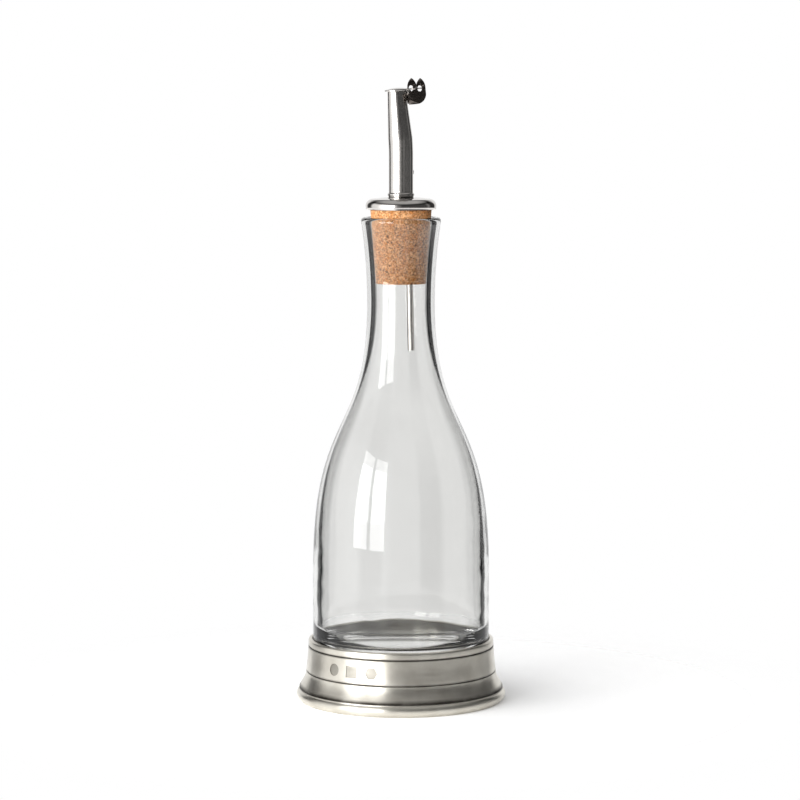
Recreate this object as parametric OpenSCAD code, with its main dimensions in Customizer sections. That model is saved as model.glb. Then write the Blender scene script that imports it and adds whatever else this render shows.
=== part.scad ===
// Glass oil bottle in a turned pewter foot, with a cork and steel pourer.
// Origin: on the bottle's axis at the underside of the foot. +Z is up and the spout pours towards -X.

/* [Glass bottle] */
// Outer diameter of the bottle's body
body_d = 74.3; // [60:0.1:90]
// Thickness of the body's wall
body_wall = 3.5; // [2.5:0.1:4.5]
// Thickness of the glass under the oil, at the middle of the floor
floor_t = 11; // [6:0.5:13]
// Height at which the body starts to draw in, above the table
shoulder_z = 55; // [45:1:70]
// Height of the narrowest place in the neck, above the table
neck_z = 168; // [150:1:210]
// Outer diameter of the neck at its narrowest
neck_d = 28.4; // [23:0.1:34]
// Thickness of the neck's wall
neck_wall = 3.45; // [2.5:0.05:4]
// Radius of the arc on which the neck flares towards the lip
flare_r = 230; // [190:5:400]
// Length of the flared stretch, from the narrowest place up to the lip
flare_len = 35.6; // [30:0.1:43]
// Roundness of the lip's outer and inner edge
lip_round = 1.5; // [0.8:0.1:1.7]
// Radius of the corner between the inner wall and the floor
floor_round = 10; // [8:0.5:18]
// Radius of the outer heel
heel_round = 4; // [3:0.5:5]
// Depth of the push-up under the floor
kick_h = 3.5; // [1:0.5:4]

/* [Pewter foot] */
// Thickness of the pewter cup's wall at the rim
cup_wall = 1.75; // [1.3:0.05:2.5]
// Height of the rim above the table
rim_z = 26.1; // [24:0.1:32]
// Height of the ledge that the glass stands on
ledge_z = 8; // [6.5:0.1:9.5]
// Thickness of that ledge
ledge_t = 1.8; // [1.2:0.1:2.5]
// How far the ledge reaches in under the glass
ledge_w = 8; // [7:0.1:9.5]
// How much wider in radius the plain band is at its lower edge than at the rim
band_flare = 1; // [0.5:0.1:2]
// How far the foot stands out beyond the band's lower edge
foot_flare = 4.1; // [2.5:0.1:6]
// Height of the round bead at the bottom of the foot
foot_bead_h = 5.4; // [4.5:0.1:6]
// Height of the lower groove above the table
low_groove_z = 12.4; // [11:0.1:14]
// Height of the upper groove above the table
high_groove_z = 23; // [20:0.1:23.3]
// Thickness of the cement bed between the ledge and the glass
bed_t = 0.5; // [0.3:0.1:1]

/* [Cork] */
// How far the cork reaches into the neck below the lip
cork_depth = 27.5; // [22:0.1:30]
// How far the cork stands above the lip before the steel cap covers it
cork_proud = 3.3; // [2:0.1:6]
// Height above the neck's narrowest place at which the cork sits closest to the glass
grip_h = 17; // [14:0.5:22]

/* [Steel pourer] */
// Diameter of the domed cap on the cork
cap_d = 29.6; // [28.2:0.1:36]
// Height of the domed cap
cap_h = 5.3; // [4:0.1:7]
// Thickness of the sheet that the cap is pressed from
cap_t = 0.6; // [0.4:0.05:0.8]
// Outer diameter of the spout at its foot
spout_d = 10.2; // [9.6:0.1:12]
// Outer diameter of the spout at its mouth
mouth_d = 7.6; // [6.8:0.1:9]
// Thickness of the spout's wall
spout_t = 0.4; // [0.3:0.05:0.6]
// Length of the spout's straight foot, from the cap to the bend
foot_len = 16.8; // [14:0.1:24]
// Radius of the bend
bend_r = 89; // [60:1:110]
// Angle by which the upper spout leans towards the pouring side
lean = 4.9; // [2:0.1:8]
// Length of the tapered stretch from the bend to the mouth
upper_len = 19.6; // [17:0.1:26]
// Thickness of the steel sleeve that lines the cork
sleeve_t = 0.4; // [0.3:0.05:0.8]
// Diameter of the air tube
vent_d = 2.9; // [2.4:0.1:3.2]
// Thickness of the air tube's wall
vent_t = 0.4; // [0.3:0.05:0.5]
// How far the air tube hangs below the cork
vent_reach = 28; // [15:1:45]
// Distance of the air tube's lower end from the bottle's axis
vent_x = 4.6; // [4.2:0.1:5]
// Height of the air hole above the cap
nipple_h = 10.1; // [7:0.1:12]

/* [Flap] */
// Diameter of the lid that covers the mouth
lid_d = 10; // [9:0.1:11]
// Thickness of the lid's rim and tail
lid_t = 0.5; // [0.4:0.05:0.8]
// Rise of the lid's dome over its rim
dome_h = 0.7; // [0.3:0.1:1]
// Thickness of the sheet that the counterweight is pressed from
cheek_t = 0.5; // [0.4:0.05:0.6]
// Height of the pointed ears above the lid's plane
ear_h = 4.5; // [3:0.1:6]
// Radius of the hinge pin
pin_r = 0.45; // [0.35:0.05:0.5]
// Radius of the rolled barrel and of the lugs around the pin
barrel_r = 0.95; // [0.85:0.05:1.05]

/* [Hidden] */
$fn = 96;

// Clearances
glue_gap = 0.15;
cork_gap = 0.2;
vent_gap = 0.05;
pin_gap = 0.05;
lid_gap = 0.05;
cheek_gap = 0.3;
side_gap = 0.1;

// Bottle
body_r = body_d / 2;
inner_r = body_r - body_wall;
neck_r = neck_d / 2;
bore_r = neck_r - neck_wall;
lip_z = neck_z + flare_len;
base_z = ledge_z + bed_t;
floor_z = base_z + kick_h + floor_t;
neck_start = neck_z - 28;
shoulder_pull = 0.61;
neck_pull = 0.506;
inner_start = 15;
inner_pull = 0.496;
inner_neck_pull = 0.452;
steps = 26;

// Cork and the pieces that stand on it
cork_z = lip_z - cork_depth;
grip_z = neck_z + grip_h;
grip_slope = (grip_z - neck_z) / sqrt(pow(flare_r, 2) - pow(grip_z - neck_z, 2));
cap_z = lip_z + cork_proud;
cap_top = cap_z + cap_h;
cap_r = cap_d / 2;
cap_edge = 2.9;
cap_drop = 0.9;
cap_under = cap_top - cap_drop - cap_t;
shoulder_of_cork = 2;

// Spout: a straight foot, a soft bend and a tapered upper stretch, which starts at upper_x and upper_z
spout_r = spout_d / 2;
mouth_r = mouth_d / 2;
upper_x = -bend_r * (1 - cos(lean));
upper_z = foot_len + bend_r * sin(lean);

// The upper stretch starts this far back inside the bend, and this much thinner, so that the two fuse
seam_len = 0.5;
seam_step = 0.02;

// Air tube: straight, leaning outwards on its way down
vent_r = vent_d / 2;
vent_z = cork_z - vent_reach;
vent_cap_x = spout_r - spout_t - vent_r - vent_gap;
vent_slope = (vent_x - vent_cap_x) / (cap_top - vent_z);
nipple_z = cap_top + nipple_h;
nipple_r = 0.9;
nipple_bore = 0.5;
nipple_proud = 0.35;
vent_len = (nipple_z + vent_r - vent_z) / cos(atan(vent_slope));
sleeve_in = vent_x - vent_slope * (cork_z - vent_z) + vent_r + 0.15;
sleeve_r = sleeve_in + sleeve_t;

// Flap, in a frame at the middle of the mouth with its Z along the spout
hinge_x = mouth_r + barrel_r + 0.25;
hinge_z = -(barrel_r + 0.15);
cheek_in = mouth_r + 0.49 + cheek_gap;
cheek_out = cheek_in + cheek_t;
cheek_x = hinge_x + 1.9;
cheek_z = -1.9;
cheek_r = 4.15;
ear_x = cheek_x + 2.08;
ear_half = 2.03;
ear_z = 0.6;
lug_in = 1.15;
lug_out = 1.95;
pin_head = 0.4;

// A point on an arc about (x, z)
function on_arc(x, z, r, a) = [x + r * cos(a), z + r * sin(a)];

// An arc from angle a to angle b in n steps
function arc(x, z, r, a, b, n) = [for (i = [0 : n]) on_arc(x, z, r, a + (b - a) * i / n)];

// A point on a cubic curve
function cubic(p, q, r, s, t) =
    pow(1 - t, 3) * p + 3 * pow(1 - t, 2) * t * q + 3 * (1 - t) * pow(t, 2) * r + pow(t, 3) * s;

// A shoulder that leaves (r0, z0) and meets (r1, z1) upright, with handles of k0 and k1 of its height
function shoulder(r0, z0, r1, z1, k0, k1) =
    [for (i = [0 : steps]) cubic([r0, z0], [r0, z0 + k0 * (z1 - z0)],
                                 [r1, z1 - k1 * (z1 - z0)], [r1, z1], i / steps)];

// Radius of the bore at height z on the flare
function flare(z) = bore_r + flare_r - sqrt(pow(flare_r, 2) - pow(z - neck_z, 2));

// The flare from height a to height b, its wall moved out by w
function flare_line(a, b, w, n) =
    [for (i = [0 : n]) let (z = a + (b - a) * i / n) [flare(z) + w, z]];

// Radius of the cork at height z: the cone that touches the flare at grip_z, less its clearance
function cork_r(z) = flare(grip_z) - cork_gap + grip_slope * (z - grip_z);

// Distance of the air tube's middle from the axis at height z
function vent_at(z) = vent_x - vent_slope * (z - vent_z);

// A ring cut from a list of [radius, height] points
module turned(points) {
    rotate_extrude() polygon(points);
}

// Stands a flat shape in the plane of the hinge's swing, y from a to b
module upright(a, b) {
    translate([0, b, 0]) rotate([90, 0, 0]) linear_extrude(b - a) children();
}

// Half the section of the blown glass, from the push-up to the lip
module glass_section() {
    outer = shoulder(body_r, shoulder_z, neck_r, neck_z, shoulder_pull, neck_pull);
    inner = shoulder(inner_r, shoulder_z + inner_start, bore_r, neck_z, inner_pull, inner_neck_pull);
    lip_in = flare(lip_z - lip_round);
    lip_out = lip_in + neck_wall;
    kick_r = body_r - heel_round - 7;
    polygon(concat(
        [[0, base_z + kick_h], [kick_r - 6, base_z + kick_h * 0.75], [kick_r, base_z]],
        arc(body_r - heel_round, base_z + heel_round, heel_round, -90, 0, 8),
        outer,
        flare_line(neck_z + 3, lip_z - lip_round - 1, neck_wall, 9),
        arc(lip_out - lip_round, lip_z - lip_round, lip_round, 0, 90, 6),
        arc(lip_in + lip_round, lip_z - lip_round, lip_round, 90, 180, 6),
        flare_line(lip_z - lip_round - 1, neck_z + 3, 0, 9),
        [for (i = [steps : -1 : 0]) inner[i]],
        arc(inner_r - floor_round, floor_z + floor_round, floor_round, 0, -90, 12),
        [[0, floor_z]]));
}

// The blown glass between two heights
module glass(from, to) {
    color([0.86, 0.88, 0.88, 0.5]) rotate_extrude() intersection() {
        glass_section();
        translate([0, from]) square([body_r, to - from]);
    }
}

// The bottle is blown in one piece, which is kept as a body and a neck that meet on a flat face
module glass_bottle() {
    glass(base_z, neck_start);
}

module glass_neck() {
    glass(neck_start, lip_z);
}

module pewter_foot() {
    cup_in = body_r + glue_gap;
    rim_r = cup_in + cup_wall;
    band_r = rim_r + band_flare;
    foot_r = band_r + foot_flare;
    groove = 0.35;
    bead_r = (rim_z - high_groove_z) / 2;
    ledge_in = cup_in - ledge_w;
    hollow_r = foot_r - 7.5;
    stamp_z = (low_groove_z + high_groove_z) / 2 - 0.3;
    stamp_r = rim_r + band_flare / 2;
    color([0.66, 0.64, 0.6]) difference() {
        turned(concat(
            [[foot_r - 4.5, 0], [foot_r - 1.6, 0]],
            arc(foot_r - 2.4, 2.6, 2.4, -55, 55, 8),
            [[foot_r - 1.1, foot_bead_h - groove], [foot_r - 1.1 - groove, foot_bead_h],
             [foot_r - 1.1, foot_bead_h + groove]],
            [for (i = [1 : 8]) cubic([foot_r - 1.2, foot_bead_h + groove],
                                     [foot_r - 2.2, foot_bead_h + 2.2],
                                     [band_r + 0.25, low_groove_z - 2.6],
                                     [band_r + 0.1, low_groove_z - groove], i / 8)],
            [[band_r - groove, low_groove_z], [band_r, low_groove_z + groove],
             [rim_r + 0.35, low_groove_z + (high_groove_z - low_groove_z) * 0.6],
             [rim_r + 0.1, high_groove_z - groove], [rim_r - groove, high_groove_z],
             [rim_r, high_groove_z + groove]],
            arc(rim_r - 0.9, rim_z - 0.9, 0.9, 0, 90, 5),
            [[cup_in + 0.3, rim_z], [cup_in, rim_z - 0.3], [cup_in, ledge_z], [ledge_in, ledge_z],
             [ledge_in, ledge_z - ledge_t], [hollow_r, ledge_z - ledge_t - 1.5]]));
        for (i = [0 : 2])
            rotate([0, 0, -156.5 + 13.2 * i]) translate([stamp_r - 0.25, 0, stamp_z])
                rotate([90, 0, 90]) linear_extrude(3) stamp(i);
    }
}

// Outlines of the three plain marks pressed into the band
module stamp(i) {
    if (i == 0) circle(2.5);
    if (i == 1) square([5.2, 4.8], center = true);
    if (i == 2) circle(2.7, $fn = 6);
}

module cement_bed() {
    bed_in = body_r + glue_gap - ledge_w + 0.5;
    bed_out = body_r - heel_round;
    color([0.85, 0.85, 0.8]) turned([
        [bed_in, ledge_z], [bed_out, ledge_z], [bed_out, base_z], [bed_in, base_z]]);
}

module cork() {
    top = cap_under - 0.05;
    edge = top - shoulder_of_cork;
    color([0.8, 0.6, 0.4]) turned([
        [sleeve_r, cork_z], [cork_r(cork_z), cork_z], [cork_r(edge), edge],
        [cork_r(edge) - shoulder_of_cork, top], [sleeve_r, top]]);
}

module cork_sleeve() {
    color([0.7, 0.7, 0.7]) turned([
        [sleeve_in, cork_z], [sleeve_r, cork_z], [sleeve_r, cap_under], [sleeve_in, cap_under]]);
}

module cap_disc() {
    edge_x = cap_r - cap_edge;
    edge_z = cap_top - cap_drop - cap_edge;
    dome = (pow(edge_x, 2) + pow(cap_drop, 2)) / (2 * cap_drop);
    hole_r = spout_r - spout_t;
    color([0.8, 0.8, 0.8]) turned(concat(
        [[hole_r, cap_under]],
        [[edge_x - cap_t, cap_under]],
        arc(edge_x, edge_z, cap_edge - cap_t, 84, 0, 7),
        [[cap_r - cap_t - 0.1, cap_z + 0.2], [cap_r - cap_t, cap_z], [cap_r - 0.2, cap_z]],
        arc(edge_x, edge_z, cap_edge, 0, 84, 8),
        [for (i = [4 : -1 : 0]) let (x = spout_r + 0.6 + (edge_x - spout_r - 0.6) * i / 5)
            [x, cap_top - dome + sqrt(pow(dome, 2) - pow(x, 2))]],
        [[spout_r + 0.6, cap_top], [hole_r, cap_top]]));
}

// Carries its children from the cap to the end of the spout's bend, turned as the upper stretch is
module at_upper() {
    translate([upper_x, 0, upper_z]) rotate([0, -lean, 0]) children();
}

// Carries its children to the middle of the mouth, turned as the upper stretch is
module at_mouth() {
    translate([0, 0, cap_top]) at_upper() translate([0, 0, upper_len]) children();
}

// Tapered upper stretch of the spout above the cap, its outer face moved in by t
module spout_upper(t) {
    at_upper() translate([0, 0, -seam_len])
        cylinder(r1 = spout_r - seam_step - t, r2 = mouth_r - t, h = upper_len + seam_len);
}

// The spout above the cap as a solid, its outer face moved in by t
module spout_core(t) {
    cylinder(r = spout_r - t, h = foot_len);
    translate([-bend_r, 0, foot_len]) rotate([90, 0, 0]) rotate_extrude(angle = lean)
        translate([bend_r, 0]) circle(spout_r - t);
    spout_upper(t);
}

// A rod along the air tube, of radius r, from its lower end
module vent_rod(r, from, to) {
    translate([vent_x, 0, vent_z]) rotate([0, -atan(vent_slope), 0])
        translate([0, 0, from]) cylinder(r = r, h = to - from);
}

module spout_tube() {
    color([0.72, 0.72, 0.7]) translate([0, 0, cap_top]) difference() {
        spout_core(0);
        spout_core(spout_t);
        translate([0, 0, nipple_h]) rotate([0, 90, 0]) cylinder(r = nipple_r, h = spout_r + 1);
    }
}

module spout_bead() {
    color([0.75, 0.75, 0.73]) turned(concat(
        [[spout_r, cap_top], [spout_r + 0.25, cap_top]],
        arc(spout_r - 0.3, cap_top + 0.85, 0.8, -45, 70, 8),
        [[spout_r, cap_top + 1.7]]));
}

module air_tube() {
    color([0.6, 0.6, 0.6]) difference() {
        vent_rod(vent_r, 0, vent_len);
        vent_rod(vent_r - vent_t, -1, vent_len - vent_t);
        translate([vent_at(nipple_z), 0, nipple_z]) rotate([0, 90, 0])
            cylinder(r = nipple_bore, h = vent_r + 1);
    }
}

module air_nipple() {
    color([0.75, 0.75, 0.73]) difference() {
        translate([vent_at(nipple_z), 0, nipple_z]) rotate([0, 90, 0])
            cylinder(r = nipple_r, h = spout_r + nipple_proud - vent_at(nipple_z));
        vent_rod(vent_r, 0, vent_len + 1);
        translate([vent_at(nipple_z), 0, nipple_z]) rotate([0, 90, 0])
            cylinder(r = nipple_bore, h = spout_r + 1);
    }
}

// A lug behind the mouth, y from a to b, soldered to the spout and bored for the pin
module lug(a, b) {
    color([0.7, 0.7, 0.68]) difference() {
        at_mouth() upright(a, b) {
            translate([hinge_x, hinge_z]) circle(barrel_r);
            translate([mouth_r - 0.6, hinge_z - barrel_r])
                square([hinge_x - mouth_r + 0.6, 2 * barrel_r]);
        }
        translate([0, 0, cap_top]) spout_upper(0);
        at_mouth() upright(a - 1, b + 1) translate([hinge_x, hinge_z]) circle(pin_r);
    }
}

module left_lug() {
    lug(-lug_out, -lug_in);
}

module right_lug() {
    lug(lug_in, lug_out);
}

module hinge_pin() {
    color([0.8, 0.8, 0.78]) at_mouth() {
        upright(-lug_out, lug_out) translate([hinge_x, hinge_z]) circle(pin_r);
        upright(lug_out, lug_out + pin_head) translate([hinge_x, hinge_z]) circle(barrel_r - 0.15);
        upright(-lug_out - pin_head, -lug_out)
            translate([hinge_x, hinge_z]) circle(barrel_r - 0.15);
    }
}

module flap_lid() {
    lid_r = lid_d / 2;
    dome = (pow(lid_r, 2) + pow(dome_h, 2)) / (2 * dome_h);
    neck_half = 3;
    barrel_half = lug_in - side_gap;
    tail_x = hinge_x + 1.3;
    color([0.8, 0.8, 0.78]) at_mouth() difference() {
        translate([0, 0, lid_gap]) {
            rotate_extrude() polygon(concat(
                [[0, 0], [lid_r, 0]],
                [for (i = [6 : -1 : 0]) let (x = lid_r * i / 6)
                    [x, lid_t + dome_h - dome + sqrt(pow(dome, 2) - pow(x, 2))]]));
            translate([2, -neck_half, 0]) cube([tail_x - 2, 2 * neck_half, lid_t]);
            translate([tail_x - 0.5, -cheek_in, 0])
                cube([cheek_x + 3 - tail_x + 0.5, 2 * cheek_in, lid_t]);
            upright(-barrel_half, barrel_half) {
                translate([hinge_x, hinge_z - lid_gap]) circle(barrel_r);
                translate([hinge_x, hinge_z - lid_gap]) square([barrel_r, -hinge_z + lid_t]);
            }
        }
        upright(-barrel_half - 1, barrel_half + 1)
            translate([hinge_x, hinge_z]) circle(pin_r + pin_gap);
    }
}

// Flat outline of one cheek: a round chin, a square front corner, a pointed ear and a tall eye
module cheek() {
    front_x = hinge_x - 2;
    front_z = hinge_z - 0.3;
    chin_z = cheek_z - cheek_r;
    arch = (pow(ear_h - ear_z, 2) + pow(ear_half, 2)) / (2 * ear_half);
    difference() {
        union() {
            intersection() {
                translate([cheek_x, cheek_z]) circle(cheek_r);
                translate([0, chin_z]) square([2 * cheek_x, ear_z - chin_z]);
            }
            polygon([[front_x, front_z], [front_x + 0.3, chin_z], [cheek_x, chin_z],
                     [cheek_x, front_z]]);
            translate([cheek_x + 1, cheek_z + 0.3])
                square([cheek_r - 1.05, ear_z - cheek_z - 0.3]);
            intersection() {
                translate([ear_x - ear_half + arch, ear_z]) circle(arch);
                translate([ear_x + ear_half - arch, ear_z]) circle(arch);
                translate([0, 0]) square([2 * cheek_x, ear_h + 1]);
            }
        }
        translate([hinge_x - 0.6, 1]) circle(2.45);
        translate([0, front_z]) square([hinge_x - 0.6, 4]);
        for (dz = [-0.28, 0.28])
            translate([ear_x - 0.55, 0.23 + dz]) circle(1);
        translate([ear_x - 1.55, -0.05]) square([2, 0.56]);
    }
}

module counterweight() {
    web_from = -40;
    web_to = 10;
    color([0.45, 0.42, 0.4]) at_mouth() {
        upright(-cheek_out, -cheek_in) cheek();
        upright(cheek_in, cheek_out) cheek();
        upright(-cheek_in, cheek_in) translate([cheek_x, cheek_z]) intersection() {
            difference() {
                circle(cheek_r);
                circle(cheek_r - cheek_t);
            }
            polygon([[0, 0], on_arc(0, 0, 2 * cheek_r, web_from), on_arc(0, 0, 2 * cheek_r, web_to)]);
        }
    }
}

glass_bottle();
glass_neck();
pewter_foot();
cement_bed();
cork();
cork_sleeve();
cap_disc();
spout_tube();
spout_bead();
air_tube();
air_nipple();
left_lug();
right_lug();
hinge_pin();
flap_lid();
counterweight();
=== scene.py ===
import math

import bmesh
import bpy
from mathutils import Matrix, Vector


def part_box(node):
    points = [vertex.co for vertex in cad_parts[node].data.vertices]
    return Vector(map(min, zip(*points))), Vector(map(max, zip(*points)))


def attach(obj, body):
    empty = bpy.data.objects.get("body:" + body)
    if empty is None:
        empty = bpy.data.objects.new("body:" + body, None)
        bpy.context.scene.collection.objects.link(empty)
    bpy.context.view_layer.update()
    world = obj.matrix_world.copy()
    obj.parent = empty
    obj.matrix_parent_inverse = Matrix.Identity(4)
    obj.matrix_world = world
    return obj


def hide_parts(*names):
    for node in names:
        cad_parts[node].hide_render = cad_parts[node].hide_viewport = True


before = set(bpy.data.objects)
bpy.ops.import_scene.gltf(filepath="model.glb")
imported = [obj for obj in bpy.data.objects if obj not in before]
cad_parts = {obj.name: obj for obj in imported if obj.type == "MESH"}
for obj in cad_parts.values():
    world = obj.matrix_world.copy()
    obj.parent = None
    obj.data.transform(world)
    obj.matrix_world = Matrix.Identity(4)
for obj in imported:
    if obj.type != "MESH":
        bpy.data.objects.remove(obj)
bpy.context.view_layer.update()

bl_info = {
    "name": "Glass oil bottle",
    "version": (1, 0, 0),
    "blender": (4, 5, 0),
    "location": "3D View > Sidebar > Oil bottle",
    "description": "Makes a glass oil bottle with a pewter foot and a cork pourer",
    "category": "Object",
}

MM = 0.001
UP = Vector((0, 0, 1))
ACROSS = (0, 1, 0)


def height(node, end):
    """Lowest (0) or highest (1) level of a CAD node, in metres."""
    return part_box(node)[end].z


def radius(node):
    """Largest radius of a turned CAD node about the bottle's axis, in metres."""
    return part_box(node)[1].y


def tint(code, alpha=None):
    """An sRGB hex colour as linear values."""
    parts = [int(code[i:i + 2], 16) / 255 for i in (1, 3, 5)]
    linear = [c / 12.92 if c <= 0.04045 else ((c + 0.055) / 1.055) ** 2.4 for c in parts]
    return tuple(linear) if alpha is None else (*linear, alpha)


# ---------------------------------------------------------------- sizes and colours

def length(name, description, default):
    return bpy.props.FloatProperty(
        name=name, description=description, default=default, unit="LENGTH", precision=5
    )


def colour(name, description, code):
    return bpy.props.FloatVectorProperty(
        name=name, description=description, default=tint(code), subtype="COLOR", size=3
    )


class BottleSizes(bpy.types.PropertyGroup):
    """Sizes of the blown bottle."""

    wall: length("Body wall", "Thickness of the body's wall", 3.5 * MM)
    neck_wall: length("Neck wall", "Thickness of the neck's wall", 3.45 * MM)
    shoulder_z: length("Shoulder", "Height at which the body starts to draw in", 55 * MM)
    neck_z: length("Neck", "Height of the narrowest place in the neck", 168 * MM)
    neck_radius: length("Neck radius", "Outer radius of the neck at its narrowest", 14.2 * MM)
    flare_radius: length("Flare", "Radius of the arc on which the neck flares", 230 * MM)
    floor_z: length("Floor", "Height of the floor's upper face", 23 * MM)
    floor_round: length("Floor corner", "Radius between the wall and the floor", 10 * MM)
    heel_round: length("Heel", "Radius of the outer heel", 4 * MM)
    kick: length("Push-up", "Depth of the push-up under the floor", 3.5 * MM)
    ripple: length("Ripple", "Depth of the waves that blowing leaves low in the wall", 0.22 * MM)


class FootSizes(bpy.types.PropertyGroup):
    """Sizes of the turned pewter foot."""

    clearance: length("Clearance", "Gap between the glass and the cup", 0.15 * MM)
    wall: length("Cup wall", "Thickness of the cup's wall at its rim", 1.75 * MM)
    ledge_z: length("Ledge", "Height of the ledge under the glass", 8 * MM)
    ledge_t: length("Ledge thickness", "Thickness of the ledge", 1.8 * MM)
    ledge_w: length("Ledge width", "How far the ledge reaches in", 8 * MM)
    band_flare: length("Band flare", "Widening of the band towards its lower edge", 1 * MM)
    bead_h: length("Foot bead", "Height of the bead at the bottom", 5.4 * MM)
    low_groove: length("Lower groove", "Height of the lower groove", 12.4 * MM)
    high_groove: length("Upper groove", "Height of the upper groove", 23 * MM)
    stamp: length("Mark", "Depth of the three plain marks", 0.22 * MM)


class PourerSizes(bpy.types.PropertyGroup):
    """Sizes of the cork and the steel pourer."""

    cork_gap: length("Cork clearance", "Gap between the cork and the glass", 0.2 * MM)
    cork_shoulder: length("Cork shoulder", "Slope at the cork's upper edge", 2 * MM)
    sheet: length("Cap sheet", "Thickness of the cap's sheet", 0.6 * MM)
    cap_edge: length("Cap edge", "Radius of the cap's rolled edge", 2.9 * MM)
    cap_drop: length("Cap dome", "Rise of the cap's dome over its rolled edge", 0.9 * MM)
    tube_wall: length("Tube wall", "Thickness of the spout, sleeve and air tube", 0.4 * MM)
    spout_radius: length("Spout radius", "Outer radius of the spout at its foot", 5.1 * MM)
    mouth_radius: length("Mouth radius", "Outer radius of the spout at its mouth", 3.8 * MM)
    foot_len: length("Straight foot", "Length of the spout's straight foot", 16.8 * MM)
    bend_radius: length("Bend", "Radius of the spout's bend", 89 * MM)
    upper_len: length("Upper stretch", "Length from the bend to the mouth", 19.6 * MM)
    vent_radius: length("Air tube radius", "Outer radius of the air tube", 1.45 * MM)
    edge: length("Eased edge", "Bevel on the small pressed pieces", 0.07 * MM)
    lean: bpy.props.FloatProperty(
        name="Lean", description="Angle of the spout's upper stretch",
        default=math.radians(4.9), subtype="ANGLE",
    )


class Finishes(bpy.types.PropertyGroup):
    """Colours of the materials and strength of the light."""

    glass: colour("Glass", "Tint of the clear glass", "#EEEEED")
    pewter: colour("Pewter", "Turned pewter", "#DEDAD0")
    pewter_dull: colour("Dull pewter", "Pewter where it has dulled", "#CBC6BB")
    tarnish: colour("Tarnish", "Dark oxide in the grooves", "#2A2520")
    steel: colour("Steel", "Drawn stainless steel", "#D6D2CE")
    # Painted reflection: this steel is coloured dark to stand for the dark room that the polished
    # counterweight mirrors.
    steel_painted_dark: colour("Steel painted dark", "Polished sheet that mirrors a dark room", "#6E6762")
    cork_light: colour("Light cork", "Light granules", "#F4BC86")
    cork_mid: colour("Cork", "Most granules", "#D68A45")
    cork_dark: colour("Dark cork", "Bark specks and pits", "#4E2A12")
    cement: colour("Cement", "Set clear cement", "#D8D8CE")
    floor: colour("Floor", "Pale matte floor", "#F4F4F4")
    key: bpy.props.FloatProperty(
        name="Window light", description="Power of each pane of the window light",
        default=6.5, subtype="POWER",
    )


# ---------------------------------------------------------------- nodes

def add(tree, kind, inputs=None, **settings):
    """Adds a node with its settings, values and links, and returns it."""
    made = tree.nodes.new(kind)
    for name, value in settings.items():
        setattr(made, name, value)
    for key, value in (inputs or {}).items():
        socket = made.inputs[key]
        if isinstance(value, bpy.types.NodeSocket):
            tree.links.new(value, socket)
        else:
            socket.default_value = value
    return made


def math_node(tree, operation, *values):
    """The result of one Math node."""
    return add(tree, "ShaderNodeMath", dict(enumerate(values)), operation=operation).outputs[0]


def finish(name):
    """A new material and the tree and shader in it."""
    made = bpy.data.materials.new(name)
    made.use_nodes = True
    shader = made.node_tree.nodes["Principled BSDF"]
    return made, made.node_tree, shader


def opaque(value):
    """A colour property as the four numbers that a socket takes."""
    return (*value, 1)


def around_axis(tree):
    """Object coordinates, and the same point as (radius, a little of the angle, height)."""
    place = add(tree, "ShaderNodeTexCoord").outputs["Object"]
    apart = add(tree, "ShaderNodeSeparateXYZ", {0: place}).outputs
    turn = math_node(tree, "ARCTAN2", apart[1], apart[0])
    flat = add(tree, "ShaderNodeVectorMath", {0: place, 1: (1, 1, 0)}, operation="MULTIPLY")
    out = add(tree, "ShaderNodeVectorMath", {0: flat.outputs[0]}, operation="LENGTH")
    slow = math_node(tree, "MULTIPLY", turn, 2 * MM)
    ring = add(tree, "ShaderNodeCombineXYZ", {0: out.outputs["Value"], 1: slow, 2: apart[2]})
    return place, ring.outputs[0]


def spread(tree, value, low, high, to_low, to_high):
    """A value moved from one range to another."""
    return add(tree, "ShaderNodeMapRange", {
        "Value": value, "From Min": low, "From Max": high, "To Min": to_low, "To Max": to_high,
    }).outputs[0]


def blend_colours(tree, share, first, second):
    """Two colours mixed by a share."""
    mixed = add(tree, "ShaderNodeMix", {0: share}, data_type="RGBA")
    for slot_name, value in (("A", first), ("B", second)):
        socket = [s for s in mixed.inputs if s.name == slot_name and s.type == "RGBA"][0]
        if isinstance(value, bpy.types.NodeSocket):
            tree.links.new(value, socket)
        else:
            socket.default_value = value
    return [s for s in mixed.outputs if s.type == "RGBA"][0]


# ---------------------------------------------------------------- materials

def blown_glass(look):
    """Soda-lime glass, mould-blown and fire-polished: clear, faintly grey, with slow waves in it."""
    made, tree, shader = finish("blown_soda_lime_glass")
    place = add(tree, "ShaderNodeTexCoord").outputs["Object"]
    waves = add(tree, "ShaderNodeTexNoise", {"Vector": place, "Scale": 1 / (16 * MM), "Detail": 1.5})
    smears = add(tree, "ShaderNodeTexNoise", {"Vector": place, "Scale": 1 / (7 * MM), "Detail": 4.0})
    lighter = tuple(min(1, c * 1.03) for c in look.glass)
    shade = blend_colours(tree, waves.outputs[0], opaque(look.glass), opaque(lighter))
    bump = add(tree, "ShaderNodeBump", {
        "Height": waves.outputs[0], "Strength": 0.12, "Distance": 0.25 * MM,
    })
    tree.links.new(shade, shader.inputs["Base Color"])
    tree.links.new(spread(tree, smears.outputs[0], 0.62, 0.8, 0.0, 0.02), shader.inputs["Roughness"])
    tree.links.new(bump.outputs[0], shader.inputs["Normal"])
    shader.inputs["IOR"].default_value = 1.5
    shader.inputs["Transmission Weight"].default_value = 1
    return made


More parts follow.
